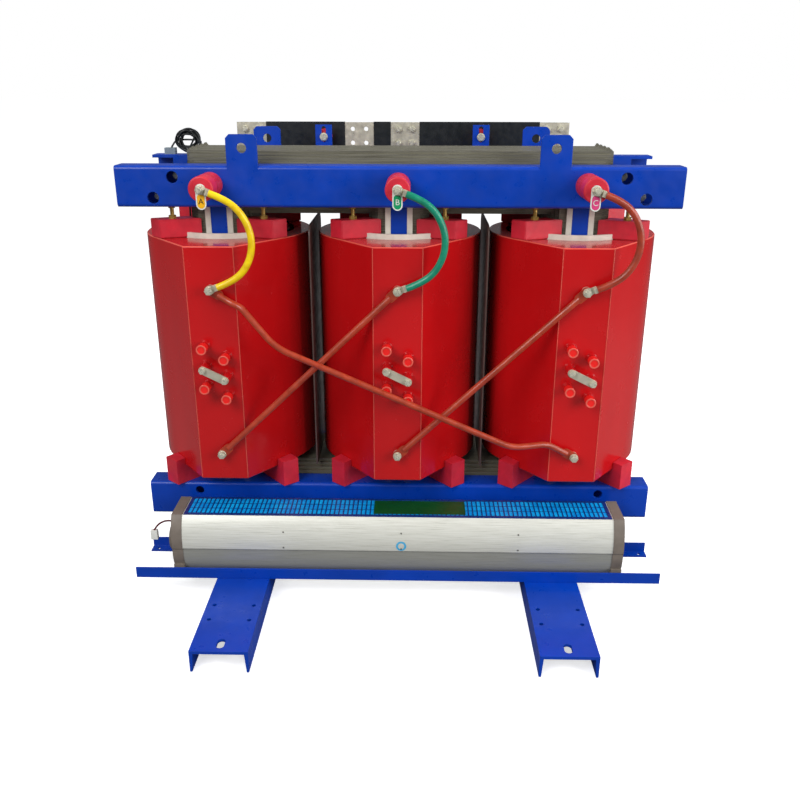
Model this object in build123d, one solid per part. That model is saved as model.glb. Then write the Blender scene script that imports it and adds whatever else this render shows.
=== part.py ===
"""Three-phase cast-resin dry type transformer with one cross-flow cooling fan.

Millimetres. X runs along the three phases, Y points from the high-voltage side to the
low-voltage side, Z is up. The origin is on the floor, under the middle limb.
"""

import os
from math import acos, atan2, cos, degrees, hypot, radians, sin, tan

from build123d import *

os.makedirs("parts", exist_ok=True)

# ---------------------------------------------------------------- driving dimensions
PHASE_PITCH = 462.0  # between neighbouring limbs
PHASES = {"a": -PHASE_PITCH, "b": 0.0, "c": PHASE_PITCH}

# base channels
TRACK_GAUGE = 820.0
BASE_WIDTH = 140.0
BASE_HEIGHT = 58.0
BASE_LENGTH = 1372.0
BASE_WALL = 8.0
WHEEL_HOLE_R = 5.5
WHEEL_HOLE_DX = 100.0
WHEEL_HOLE_DY = 62.0
WHEEL_HOLE_Y = 529.0  # middle of a four-hole group
FLOOR_SLOT_Y = 655.0
FLOOR_SLOT_WIDTH = 19.0
FLOOR_SLOT_LENGTH = 35.0

# core: half depth and width of each packet of sheets, from the thick middle one outwards
PACKETS = [(95.0, 156.0), (105.0, 140.0), (115.0, 124.0), (125.0, 108.0)]
CORE_WIDTH = PACKETS[0][1]
CORE_HALF_DEPTH = PACKETS[-1][0]
LOWER_YOKE_TOP = 285.0
UPPER_YOKE_TOP = 1140.0
EAR_HEIGHT = 8.0
EAR_WIDTH = 13.0
EAR_COUNT = 8

# clamps
CLAMP_LENGTH = 1396.0
LOWER_CLAMP_LENGTH = 1388.0
CLAMP_FACE = 195.0  # outer face of the web, from the middle plane
CLAMP_WALL = 8.0
CLAMP_BEND = 9.0
UPPER_CLAMP_Z = (1011.0, 1111.0)
LOWER_CLAMP_Z = (156.0, 254.0)
LUG_X = 381.0
LUG_WIDTH = 76.0
LUG_TOP = 1185.0
LUG_CHAMFER = 9.0
LUG_HOLE_R = 12.0
LUG_HOLE_Z = 1153.0
TIE_PLATE_WIDTH = 41.0
TIE_PLATE_THICK = 6.0
STRIP_WIDTH = 14.0
UPPER_TIES = [(556.0, 1084.0), (607.0, 1034.0)]
LOWER_TIES = [(556.0, 230.0)]
TIE_BOLT_R = 6.0
ACCESS_HOLE_R = 14.5
GUSSET = (530.0, 640.0)

# windings
COIL_Z = (305.0, 929.0)
HV_OUTER_R = 220.0
HV_INNER_R = 173.0
HV_FACET_Y = 274.0
HV_FACET_HALF = 61.5
HV_EDGE = 2.5
LV_OUTER_R = 160.0
LV_INNER_R = 140.0
GAP_BOARD = 7.0
GAP_BOARD_TOP = 949.0
GAP_BOARD_ANGLE = 30.0

# tap bosses on the front facet
TAP_DX = 27.0
TAP_LEFT_Z = [677.0, 624.5, 572.0]
TAP_DROP = 27.0
TAP_R = 12.0
TAP_LENGTH = 38.0
TAP_BORE_R = 5.0
LINK_WIDTH = 20.0
LINK_THICK = 5.0

# high-voltage terminals on the coils and on the posts
TOP_TERMINAL_Z = 824.0
BOTTOM_TERMINAL_Z = 383.0
TERMINAL_BOLT_R = 6.0
TERMINAL_SPACER = 10.0
PALM_THICK = 5.0
CABLE_PALM_THICK = 4.0
ROD_R = 8.0
POST_X = PHASE_PITCH
POST_Z = 1067.0
POST_R = 30.0
POST_LENGTH = 105.0
TAG_THICK = 1.5
CABLE_R = 8.5

# pressing blocks
BLOCK_ANGLE = 50.0
BLOCK_WIDTH = 48.0
TOP_BLOCK_TOP = 976.0
TOP_BLOCK_R = (145.0, 215.0)
BOTTOM_BLOCK_R = (142.0, 258.0)
BLOCK_LIP_TOP = 326.0
PRESS_BOLT_RADIUS = 182.0

# interphase barrier boards
BARRIER_THICK = 4.0
BARRIER_HALF_DEPTH = 135.0
BARRIER_TOP = 958.0

# fan
RAIL_FRONT_Y = 375.0
RAIL_INNER_Y = 211.0
RAIL_LEG = 30.0
RAIL_WALL = 4.0
RAIL_LENGTH = 1394.0
FAN_HALF_LENGTH = 570.0
FAN_END_THICK = 28.0
FAN_TOP = 228.0
FAN_FRONT_Y = 362.0
FAN_BACK_Y = 238.0
FAN_WALL = 2.5
FAN_AXIS = (-298.0, 143.0)  # y, z
IMPELLER_R = 46.0
BLADE_COUNT = 18
SHAFT_R = 6.0
SHAFT_CLEARANCE = 0.05
GRILLE_BARS = 94
GRILLE_THICK = 3.0

# low-voltage side
BAR_WIDTH = 80.0
BAR_THICK = 8.0
NEUTRAL_Y = 398.0  # front face of the neutral bar
NEUTRAL_TOP = 1187.0
NEUTRAL_HALF_LENGTH = 508.0
LV_LEAD_Y = 144.0  # front face of a lead where it leaves the winding
LV_LEAD_Z = 985.0
LV_PHASE_Z = 272.0
LV_TERMINAL_Y = 300.0
LV_TERMINAL_TOP = 400.0
SLEEVE_THICK = 1.5
NEUTRAL_JOINTS = (-PHASE_PITCH, 8.0, PHASE_PITCH)
NEUTRAL_TERMINAL_X = -132.0
BAR_HOLE_R = 6.5
BAR_HOLE_PITCH = 41.0
BRACKET_X = 237.0
BRACKET_WIDTH = 50.0
BRACKET_THICK = 6.0

SIDES = (-1, 1)
FIT = 0.5  # clearance where one piece is notched round another


# ---------------------------------------------------------------- helpers
def block(x, y, z):
    """Box from three (low, high) pairs."""
    size = [max(p) - min(p) for p in (x, y, z)]
    return Pos(*[(p[0] + p[1]) / 2 for p in (x, y, z)]) * Box(*size)


def cylinder_y(radius, x, y, z):
    """Cylinder along Y between the two values of y."""
    return Pos(x, (y[0] + y[1]) / 2, z) * Rot(90, 0, 0) * Cylinder(radius, abs(y[1] - y[0]))


def cylinder_x(radius, x, y, z):
    return Pos((x[0] + x[1]) / 2, y, z) * Rot(0, 90, 0) * Cylinder(radius, abs(x[1] - x[0]))


def hexagon_y(across, x, y, z):
    """Hexagon head or nut along Y, across flats given."""
    face = Plane.XZ.offset(-min(y)) * RegularPolygon(across / 2, 6, major_radius=False)
    return Pos(x, 0, z) * extrude(face, amount=-abs(y[1] - y[0]))


def hexagon_z(across, x, y, z):
    face = Pos(x, y, z[0]) * RegularPolygon(across / 2, 6, major_radius=False)
    return extrude(face, amount=z[1] - z[0])


def save(name, pieces):
    """Writes one node: a single solid, or a group of separate ones."""
    if not isinstance(pieces, list):
        pieces = [pieces]
    solids = [solid for piece in pieces for solid in piece.solids()]
    export_step(solids[0] if len(solids) == 1 else Compound(solids), f"parts/{name}.step")


def flipped(shape):
    """The same piece on the other side of the transformer's middle plane."""
    return mirror(shape, about=Plane.XZ)


def turned(shape, phase_x, angle):
    """A piece made along +X from the coil's axis, turned about that axis."""
    return Pos(phase_x, 0, 0) * Rot(0, 0, angle) * shape


def block_angles():
    return [BLOCK_ANGLE, 180 - BLOCK_ANGLE, 180 + BLOCK_ANGLE, -BLOCK_ANGLE]


# ---------------------------------------------------------------- base
def base_channel(side):
    """Channel lying on its flange tips, with wheel holes and a floor slot at each end."""
    half = BASE_WIDTH / 2
    outline = [(-half, 0), (-half, BASE_HEIGHT), (half, BASE_HEIGHT), (half, 0)]
    tip = half - 0.7 * BASE_WALL
    root = half - 1.2 * BASE_WALL
    under = BASE_HEIGHT - BASE_WALL
    outline += [(tip, 0), (root, under), (-root, under), (-tip, 0)]
    section = Plane.XZ * make_face(Polyline(*outline, close=True))
    body = extrude(section, amount=BASE_LENGTH / 2, both=True)
    for end in SIDES:
        for dx in SIDES:
            for dy in SIDES:
                spot = (dx * WHEEL_HOLE_DX / 2, end * WHEEL_HOLE_Y + dy * WHEEL_HOLE_DY / 2, under)
                body -= Pos(*spot) * Cylinder(WHEEL_HOLE_R, 3 * BASE_WALL)
        slot = Rot(0, 0, 90) * SlotOverall(FLOOR_SLOT_LENGTH, FLOOR_SLOT_WIDTH)
        body -= Pos(0, end * FLOOR_SLOT_Y, under - 1) * extrude(slot, amount=BASE_WALL + 2)
    return Pos(side * TRACK_GAUGE / 2, 0, 0) * body


def clamp_foot(side, face):
    """Welded stool that carries the lower clamp on the base channel."""
    plate = BASE_WALL
    low, high = BASE_HEIGHT, LOWER_CLAMP_Z[0]
    x_mid = side * TRACK_GAUGE / 2
    inner = CORE_HALF_DEPTH + TIE_PLATE_THICK
    y = sorted((face * CLAMP_FACE, face * inner))
    half = BASE_WIDTH / 2 - 10
    foot = block((x_mid - half, x_mid + half), y, (low, low + plate))
    foot += block((x_mid - half, x_mid + half), y, (high - plate, high))
    for edge in SIDES:
        wall = sorted((x_mid + edge * half * 0.8, x_mid + edge * (half * 0.8 - plate)))
        foot += block(wall, y, (low, high))
    return foot


# ---------------------------------------------------------------- core
def packet_box(half_depth, x, z):
    return block(x, (-half_depth, half_depth), z)


LOWER_YOKE_Z = LOWER_YOKE_TOP - CORE_WIDTH / 2
UPPER_YOKE_Z = UPPER_YOKE_TOP - CORE_WIDTH / 2


def lower_yoke(extra=0.0):
    yoke = None
    for half_depth, width in PACKETS:
        reach = PHASE_PITCH + width / 2 + extra
        z = (LOWER_YOKE_Z - width / 2 - extra, LOWER_YOKE_Z + width / 2 + extra)
        packet = packet_box(half_depth + extra, (-reach, reach), z)
        yoke = packet if yoke is None else yoke + packet
    return yoke


def core():
    """Three limbs on the lower yoke, each stepped to fill the round winding."""
    body = lower_yoke()
    for x in PHASES.values():
        inner = 0.0
        for half_depth, width in PACKETS:
            z = (LOWER_YOKE_Z, UPPER_YOKE_Z - width / 2)
            for face in SIDES:
                y = sorted((face * inner, face * half_depth))
                body += block((x - width / 2, x + width / 2), y, z)
            inner = half_depth
    return body


def upper_yoke():
    """Loose yoke laid across the limbs, with the mitred sheet tips standing up at its ends."""
    yoke = None
    for half_depth, width in PACKETS:
        reach = PHASE_PITCH + width / 2
        z = (UPPER_YOKE_Z - width / 2, UPPER_YOKE_Z + width / 2)
        packet = packet_box(half_depth, (-reach, reach), z)
        yoke = packet if yoke is None else yoke + packet
    reach = PHASE_PITCH + CORE_WIDTH / 2
    depth = 2 * PACKETS[0][0] / EAR_COUNT
    for side in SIDES:
        for tip in range(EAR_COUNT):
            y = -PACKETS[0][0] + tip * depth
            rise = EAR_HEIGHT * (1.0 if tip % 2 else 0.7)
            outline = [
                (side * reach, UPPER_YOKE_TOP - 1),
                (side * (reach - EAR_WIDTH / 2), UPPER_YOKE_TOP + rise),
                (side * (reach - EAR_WIDTH), UPPER_YOKE_TOP - 1),
            ]
            face = Plane.XZ.offset(-y) * make_face(Polyline(*outline, close=True))
            yoke += extrude(face, amount=-depth)
    return yoke


# ---------------------------------------------------------------- clamps
def clamp(z, length, ties, hole_r):
    """Folded C section, web outwards, with gusset plates that take the tie bolts."""
    inner = CORE_HALF_DEPTH + TIE_PLATE_THICK
    web, tip = -CLAMP_FACE, -inner
    wall = CLAMP_WALL
    outline = [(tip, z[0]), (web, z[0]), (web, z[1]), (tip, z[1])]
    outline += [(tip, z[1] - wall), (web + wall, z[1] - wall), (web + wall, z[0] + wall), (tip, z[0] + wall)]
    section = make_face(Polyline(*outline, close=True))
    corners = [v for v in section.vertices() if abs(v.X - web) < 0.01]
    section = Plane.YZ * fillet(corners, radius=CLAMP_BEND)
    body = extrude(section, amount=length / 2, both=True)
    for side in SIDES:
        reach = sorted((side * GUSSET[0], side * GUSSET[1]))
        body += block(reach, (tip - wall, tip), (z[0] + wall / 2, z[1] - wall / 2))
        for x, height in ties:
            body -= cylinder_y(hole_r, side * x, (web - 1, web + wall + 1), height)
            body -= cylinder_y(TIE_BOLT_R + FIT, side * x, (tip - wall - 1, tip + 1), height)
    return body


def upper_clamp():
    body = clamp(UPPER_CLAMP_Z, CLAMP_LENGTH, UPPER_TIES, ACCESS_HOLE_R)
    for side in SIDES:
        x = side * LUG_X
        lug = block(
            (x - LUG_WIDTH / 2, x + LUG_WIDTH / 2),
            (-CLAMP_FACE, -CLAMP_FACE + CLAMP_WALL),
            (UPPER_CLAMP_Z[1] - 2 * CLAMP_BEND, LUG_TOP),
        )
        corners = [e for e in lug.edges().filter_by(Axis.Y) if e.center().Z > LUG_TOP - 1]
        body += chamfer(corners, LUG_CHAMFER)
        body -= cylinder_y(LUG_HOLE_R, x, (-CLAMP_FACE - 1, -CLAMP_FACE + CLAMP_WALL + 1), LUG_HOLE_Z)
    return body


def tie_bolt(x, z):
    """Through rod with a washer and a nut on each clamp's gusset."""
    seat = CORE_HALF_DEPTH + TIE_PLATE_THICK + CLAMP_WALL
    body = cylinder_y(TIE_BOLT_R, x, (-seat - 22, seat + 22), z)
    for face in SIDES:
        body += cylinder_y(2 * TIE_BOLT_R, x, sorted((face * seat, face * (seat + 2.5))), z)
        body += hexagon_y(18, x, sorted((face * (seat + 2.5), face * (seat + 13))), z)
    return body


def limb_plates(width, offset):
    """Flat strips on the face of every limb, gripped by the clamps at top and bottom."""
    pieces = []
    z = (LOWER_CLAMP_Z[0] + 12, UPPER_CLAMP_Z[1] - 12)
    y = (-CORE_HALF_DEPTH - TIE_PLATE_THICK, -CORE_HALF_DEPTH)
    for x in PHASES.values():
        for shift in sorted({-offset, offset}):
            strip = block((x + shift - width / 2, x + shift + width / 2), y, z)
            pieces += [strip, flipped(strip)]
    return pieces


# ---------------------------------------------------------------- windings
def hv_outline(grow=0.0):
    """Round winding with a flat terminal facet in front, joined by two tangent flats."""
    radius = HV_OUTER_R + grow
    facet_y = HV_FACET_Y + grow
    half = HV_FACET_HALF + grow * 0.4
    reach = hypot(half, facet_y)
    touch = atan2(-facet_y, half) + acos(radius / reach)
    tx, ty = radius * cos(touch), radius * sin(touch)
    front = make_face(Polyline((0, 0), (-tx, ty), (-half, -facet_y), (half, -facet_y), (tx, ty), close=True))
    return Circle(radius) + front


def hv_coil(phase_x):
    """Cast winding with its six tap bosses moulded on the facet."""
    height = COIL_Z[1] - COIL_Z[0]
    body = extrude(hv_outline(), amount=height)
    rims = [e for e in body.edges() if e.center().Z < 0.01 or e.center().Z > height - 0.01]
    body = chamfer(rims, HV_EDGE)
    body -= Pos(0, 0, height / 2) * Cylinder(HV_INNER_R, height + 2)
    body = Pos(0, 0, COIL_Z[0]) * body
    for z in TAP_LEFT_Z:
        for x, drop in ((-TAP_DX, 0), (TAP_DX, TAP_DROP)):
            tip = -HV_FACET_Y - TAP_LENGTH
            body += cylinder_y(TAP_R, x, (tip, -HV_FACET_Y + 2), z - drop)
            body += cylinder_y(TAP_R + 2.5, x, (-HV_FACET_Y - 3, -HV_FACET_Y + 2), z - drop)
            body -= cylinder_y(TAP_BORE_R, x, (tip - 1, tip + 12), z - drop)
    return Pos(phase_x, 0, 0) * body


def lv_coil(phase_x):
    height = COIL_Z[1] - COIL_Z[0]
    ring = Circle(LV_OUTER_R) - Circle(LV_INNER_R)
    return Pos(phase_x, 0, COIL_Z[0]) * extrude(ring, amount=height)


def gap_boards():
    """Curved barrier boards that stand out of the gap between the two windings."""
    pieces = []
    deep = 45.0
    for x in PHASES.values():
        ring = Circle(LV_OUTER_R + GAP_BOARD) - Circle(LV_OUTER_R)
        reach = 2 * HV_OUTER_R
        wide = reach * tan(radians(GAP_BOARD_ANGLE))
        ring = ring & make_face(Polyline((0, 0), (-wide, -reach), (wide, -reach), close=True))
        board = Pos(x, 0, GAP_BOARD_TOP - deep) * extrude(ring, amount=deep)
        pieces += [board, flipped(board)]
    return pieces


def top_blocks(phase_x):
    low, high = TOP_BLOCK_R
    bar = block((low, high), (-BLOCK_WIDTH / 2, BLOCK_WIDTH / 2), (COIL_Z[1], TOP_BLOCK_TOP))
    edges = bar.edges().filter_by(Axis.Z)
    bar = chamfer(edges, 2)
    return [turned(bar, phase_x, angle) for angle in block_angles()]


def bottom_blocks(phase_x):
    """Blocks on the lower clamps, notched over the yoke, with a lip outside the coil."""
    low, high = BOTTOM_BLOCK_R
    half = BLOCK_WIDTH / 2
    rest = LOWER_CLAMP_Z[1]
    bar = block((low, high), (-half, half), (rest, COIL_Z[0]))
    lip = block((HV_OUTER_R - 20, high), (-half, half), (COIL_Z[0] - 1, BLOCK_LIP_TOP))
    winding = Pos(phase_x, 0, COIL_Z[0]) * extrude(hv_outline(FIT), amount=60)
    pieces = []
    for angle in block_angles():
        piece = turned(bar + lip, phase_x, angle) - winding - lower_yoke(FIT)
        pieces.append(piece)
    return pieces


def pressing_bolts():
    """Brass jacking bolts between the top blocks and the upper clamps."""
    pieces = []
    top = UPPER_CLAMP_Z[0]
    for x in PHASES.values():
        for angle in block_angles():
            bx = x + PRESS_BOLT_RADIUS * cos(radians(angle))
            by = PRESS_BOLT_RADIUS * sin(radians(angle))
            bolt = Pos(bx, by, (TOP_BLOCK_TOP + top) / 2) * Cylinder(5, top - TOP_BLOCK_TOP)
            bolt += hexagon_z(17, bx, by, (TOP_BLOCK_TOP, TOP_BLOCK_TOP + 8))
            bolt += hexagon_z(15, bx, by, (top - 9, top - 3))
            pieces.append(bolt)
    return pieces


def barrier(side):
    """Board between two neighbouring windings, standing on the lower yoke."""
    x = side * PHASE_PITCH / 2
    board = block(
        (x - BARRIER_THICK / 2, x + BARRIER_THICK / 2),
        (-BARRIER_HALF_DEPTH, BARRIER_HALF_DEPTH),
        (LOWER_YOKE_TOP, BARRIER_TOP),
    )
    top = [e for e in board.edges().filter_by(Axis.X) if e.center().Z > BARRIER_TOP - 1]
    board = fillet(top, 30)
    return board - lower_yoke(0.0)


# ---------------------------------------------------------------- high-voltage connections
ROD_Y = -HV_FACET_Y - TERMINAL_SPACER - PALM_THICK / 2
CABLE_PALM_Y = ROD_Y - PALM_THICK / 2 - CABLE_PALM_THICK


def palm(x, z, y, thick, angle, length, width=24.0):
    """Flat eye with a bolt hole, reaching from its bolt along the given angle."""
    shape = Pos(length / 2, 0) * SlotOverall(length + width, width)
    shape -= Circle(TERMINAL_BOLT_R + 0.3)
    eye = extrude(shape, amount=thick)
    return Pos(x, y, z) * Rot(90, 0, 0) * Rot(0, 0, angle) * Pos(0, 0, -thick) * eye


def connecting_rod(route):
    """Copper rod in its sleeve, with both ends pressed flat round a bolt."""
    ends = []
    for spot, towards in ((route[0], route[1]), (route[-1], route[-2])):
        dx, dy, dz = (towards[i] - spot[i] for i in range(3))
        length = hypot(dx, hypot(dy, dz))
        angle = degrees(atan2(dz, dx))
        ends.append(palm(spot[0], spot[2], ROD_Y - PALM_THICK / 2, PALM_THICK, angle, 24.0))
        start = tuple(spot[i] + 24.0 * (dx, dy, dz)[i] / length for i in range(3))
        if spot is route[0]:
            first = start
        else:
            last = start
    points = [first, *route[1:-1], last]
    if len(points) == 2:
        line = Line(*points)
    else:
        radii = []
        for before, corner, after in zip(points, points[1:], points[2:]):
            one = Vector(*corner) - Vector(*before)
            two = Vector(*after) - Vector(*corner)
            radii.append(0.3 * min(one.length, two.length) / tan(radians(one.get_angle(two) / 2)))
        line = FilletPolyline(*points, radius=radii)
    path = Wire(line.edges())
    tube = sweep(Plane(path @ 0, z_dir=path % 0) * Circle(ROD_R), path=path)
    return tube + ends[0] + ends[1]


def rod_routes():
    """Corner points of the three rods that join the phases in delta."""
    a, b, c = PHASES["a"], PHASES["b"], PHASES["c"]
    out = ROD_Y - 42.0
    return {
        "ab": [(b, ROD_Y, TOP_TERMINAL_Z), (a, ROD_Y, BOTTOM_TERMINAL_Z)],
        "bc": [(c, ROD_Y, TOP_TERMINAL_Z), (b, ROD_Y, BOTTOM_TERMINAL_Z)],
        "ca": [
            (a, ROD_Y, TOP_TERMINAL_Z),
            (a + 50, ROD_Y - 8, TOP_TERMINAL_Z - 29),
            (a + 80, ROD_Y - 24, TOP_TERMINAL_Z - 38),
            (a + 162, out, TOP_TERMINAL_Z - 134),
            (c - 168, out, BOTTOM_TERMINAL_Z + 44),
            (c - 74, ROD_Y - 16, BOTTOM_TERMINAL_Z + 44),
            (c, ROD_Y, BOTTOM_TERMINAL_Z),
        ],
    }


def terminal_bolt(x, z, stack):
    """Bolt, washers and spacer of a coil terminal; stack is the y of the outer palm face."""
    face = -HV_FACET_Y
    body = cylinder_y(11, x, (face - TERMINAL_SPACER, face), z)
    body += cylinder_y(TERMINAL_BOLT_R, x, (stack - 12, face), z)
    body += cylinder_y(11, x, (stack - 2, stack), z)
    body += hexagon_y(18, x, (stack - 10, stack - 2), z)
    return body


def link_bar(phase_x):
    """Tap link across the two middle bosses."""
    left = (phase_x - TAP_DX, TAP_LEFT_Z[1])
    right = (phase_x + TAP_DX, TAP_LEFT_Z[1] - TAP_DROP)
    span = hypot(right[0] - left[0], right[1] - left[1])
    angle = degrees(atan2(right[1] - left[1], right[0] - left[0]))
    shape = SlotOverall(span + LINK_WIDTH, LINK_WIDTH)
    for end in SIDES:
        shape -= Pos(end * span / 2, 0) * Circle(TAP_BORE_R)
    bar = extrude(shape, amount=LINK_THICK)
    y = -HV_FACET_Y - TAP_LENGTH
    middle = ((left[0] + right[0]) / 2, y, (left[1] + right[1]) / 2)
    return Pos(*middle) * Rot(90, 0, 0) * Rot(0, 0, angle) * bar


def link_bolts(phase_x):
    pieces = []
    seat = -HV_FACET_Y - TAP_LENGTH - LINK_THICK
    for dx, z in ((-TAP_DX, TAP_LEFT_Z[1]), (TAP_DX, TAP_LEFT_Z[1] - TAP_DROP)):
        bolt = cylinder_y(TAP_BORE_R - 0.3, phase_x + dx, (seat - 1, seat + LINK_THICK + 10), z)
        bolt += hexagon_y(15, phase_x + dx, (seat - 7, seat), z)
        pieces.append(bolt)
    return pieces


def post(x):
    """Cast post insulator on the upper clamp, ribbed near its foot."""
    foot = -CLAMP_FACE
    tip = foot - POST_LENGTH
    body = cylinder_y(POST_R, x, (tip, foot), POST_Z)
    rim = [e for e in body.edges() if e.center().Y < tip + 1 and e.length > 2 * POST_R]
    body = fillet(rim, 4)
    for rib in range(6):
        y = foot - 10 - rib * 9
        groove = cylinder_y(POST_R + 1, x, (y - 3, y), POST_Z) - cylinder_y(POST_R - 2, x, (y - 4, y + 1), POST_Z)
        body -= groove
    return body


def post_stud(x):
    tip = -CLAMP_FACE - POST_LENGTH
    seat = tip - TAG_THICK - CABLE_PALM_THICK
    body = cylinder_y(TERMINAL_BOLT_R, x, (seat - 16, tip), POST_Z)
    body += cylinder_y(11, x, (seat - 2, seat), POST_Z)
    body += hexagon_y(18, x, (seat - 11, seat - 2), POST_Z)
    return body


def phase_tag(x):
    """Small plate with a rounded end, hung under the post's stud."""
    tip = -CLAMP_FACE - POST_LENGTH
    shape = Pos(0, -17) * Rot(0, 0, 90) * SlotOverall(60, 24)
    shape -= Circle(TERMINAL_BOLT_R + 0.3)
    return Pos(x, tip, POST_Z) * Rot(90, 0, 0) * extrude(shape, amount=TAG_THICK)


# Jumper cable: corner points as offset from the phase's axis, y and z.
JUMPER = [
    (20.7, -310.0, 1059.5),
    (60.0, -309.0, 1045.0),
    (94.0, -307.0, 1014.0),
    (114.0, -305.0, 968.0),
    (113.0, -303.0, 919.0),
    (93.0, -301.0, 876.0),
    (60.0, -299.0, 848.0),
    (22.3, -298.0, 833.0),
]


def cord_tube(points, radius):
    """Round tube along straight runs joined by the largest arcs that they allow."""
    radii = []
    for before, corner, after in zip(points, points[1:], points[2:]):
        one = Vector(*corner) - Vector(*before)
        two = Vector(*after) - Vector(*corner)
        half = radians(one.get_angle(two) / 2)
        radii.append(0.45 * min(one.length, two.length) / tan(half))
    print("cord radii, in diameters:", [round(r / (2 * radius), 1) for r in radii])
    path = Wire(FilletPolyline(*points, radius=radii).edges())
    return sweep(Plane(path @ 0, z_dir=path % 0) * Circle(radius), path=path)


def cable_lugs():
    """Crimp lugs at both ends of each jumper cable."""
    pieces = []
    post_seat = -CLAMP_FACE - POST_LENGTH - TAG_THICK - CABLE_PALM_THICK
    for phase_x, post_x in zip(PHASES.values(), (-POST_X, 0.0, POST_X)):
        ends = [
            (post_x, POST_Z, post_seat, JUMPER[0], phase_x),
            (phase_x, TOP_TERMINAL_Z, CABLE_PALM_Y, JUMPER[-1], phase_x),
        ]
        for x, z, seat, start, origin in ends:
            dx, dz = origin + start[0] - x, start[2] - z
            length = hypot(dx, dz)
            angle = degrees(atan2(dz, dx))
            eye = palm(x, z, seat, CABLE_PALM_THICK, angle, 4.0, width=21.0)
            deep = seat + CABLE_PALM_THICK - start[1] + CABLE_R * 0.5
            neck = block((length - 8.0, length), (-7.0, 7.0), (0, deep)) + block(
                (9.0, length), (-8.0, 8.0), (0, CABLE_PALM_THICK)
            )
            neck = Pos(x, seat + CABLE_PALM_THICK, z) * Rot(90, 0, 0) * Rot(0, 0, angle) * neck
            bore = cylinder_y(TERMINAL_BOLT_R + 0.3, x, (seat - 40, seat + 40), z)
            pieces.append(eye + (neck - bore))
    return pieces


# ---------------------------------------------------------------- fan
def angle_rail(upright_y, toe):
    """Equal angle along X; toe is the direction of its flat leg."""
    x = (-RAIL_LENGTH / 2, RAIL_LENGTH / 2)
    z = BASE_HEIGHT
    rail = block(x, sorted((upright_y, upright_y + toe * RAIL_WALL)), (z, z + RAIL_LEG))
    rail += block(x, sorted((upright_y, upright_y + toe * RAIL_LEG)), (z, z + RAIL_WALL))
    hole_y = upright_y + toe * RAIL_LEG * 0.6
    for side in SIDES:
        rail -= Pos(side * (RAIL_LENGTH / 2 - 20), hole_y, z + RAIL_WALL / 2) * Cylinder(4.5, 3 * RAIL_WALL)
    return rail


def fan_outline(inset=0.0):
    """Section of the fan in Y and Z: crowned front, seam ledge, and a curved belly."""
    front, back = -FAN_FRONT_Y + inset, -FAN_BACK_Y - inset
    top, low = FAN_TOP - inset, BASE_HEIGHT + RAIL_WALL + 4 + inset
    seam = 140.0
    edges = [
        Line((back, top), (front + 24, top)),
        ThreePointArc((front + 24, top), (front + 6, 190), (front, seam)),
        Line((front, seam), (front + 3, seam - 3)),
        ThreePointArc((front + 3, seam - 3), (front + 7, 96), (front + 24, low)),
        Line((front + 24, low), (back - 24, low)),
        ThreePointArc((back - 24, low), (back - 6, 105), (back, seam)),
        Line((back, seam), (back, top)),
    ]
    return make_face(Wire(edges))


def fan_housing():
    """Drawn aluminium trough, open at the top for the grille."""
    shell = Plane.YZ * (fan_outline() - fan_outline(FAN_WALL))
    body = extrude(shell, amount=FAN_HALF_LENGTH, both=True)
    mouth = (-FAN_FRONT_Y + 30, -FAN_BACK_Y - 6)
    return body - block((-FAN_HALF_LENGTH + 8, FAN_HALF_LENGTH - 8), mouth, (FAN_TOP - 8, FAN_TOP + 8))


def fan_grille():
    """Outlet grille: a frame with cross bars and two long ribs."""
    half = FAN_HALF_LENGTH - 4
    y = (-FAN_FRONT_Y + 25, -FAN_BACK_Y - 1)
    z = (FAN_TOP, FAN_TOP + GRILLE_THICK)
    frame = block((-half, half), y, z)
    pitch = (2 * half - 16) / GRILLE_BARS
    slots = []
    inner = (y[0] + 8, y[1] - 8)
    for bar in range(GRILLE_BARS):
        middle = -half + 8 + (bar + 0.5) * pitch
        slots.append(block((middle - pitch * 0.38, middle + pitch * 0.38), inner, (z[0] - 1, z[1] + 1)))
    frame -= slots
    return frame


def fan_end(side):
    """Moulded end plate with the shaft's bearing."""
    section = Plane.YZ * fan_outline(-2.0)
    plate = extrude(section, amount=FAN_END_THICK)
    sole = block((0, FAN_END_THICK), (-FAN_FRONT_Y + 2, -FAN_BACK_Y - 2), (BASE_HEIGHT + RAIL_WALL, 90))
    plate += sole
    plate = Pos(FAN_HALF_LENGTH, 0, 0) * plate
    y, z = FAN_AXIS
    reach = (FAN_HALF_LENGTH - 1, FAN_HALF_LENGTH + FAN_END_THICK + 1)
    plate -= cylinder_x(SHAFT_R + SHAFT_CLEARANCE, reach, y, z)
    return plate if side > 0 else mirror(plate, about=Plane.YZ)


def fan_motor():
    """Round motor housing on the left end plate; the shaft ends inside it."""
    y, z = FAN_AXIS
    near = -FAN_HALF_LENGTH - FAN_END_THICK
    body = cylinder_x(38, (near - 16, near), y, z)
    rim = [e for e in body.edges() if abs(e.center().X - (near - 16)) < 0.01]
    body = fillet(rim, 6)
    return body - cylinder_x(SHAFT_R + SHAFT_CLEARANCE, (near - 10, near + 1), y, z)


def impeller():
    """Squirrel-cage rotor: curved blades in rings on a shaft."""
    y, z = FAN_AXIS
    half = FAN_HALF_LENGTH - 6
    shaft_end = FAN_HALF_LENGTH + FAN_END_THICK
    rotor = cylinder_x(SHAFT_R, (-shaft_end - 8, shaft_end - 2), 0, 0)
    for station in (-1.0, -0.33, 0.33, 1.0):
        x = station * (half - 2)
        rotor += cylinder_x(IMPELLER_R, (x - 2, x + 2), 0, 0)
    blade = block((-half, half), (IMPELLER_R - 15, IMPELLER_R - 2), (-0.8, 0.8))
    blades = [Rot(360 * n / BLADE_COUNT, 0, 0) * Pos(0, 0, 5) * blade for n in range(BLADE_COUNT)]
    return Pos(0, y, z) * (rotor + blades)


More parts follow.
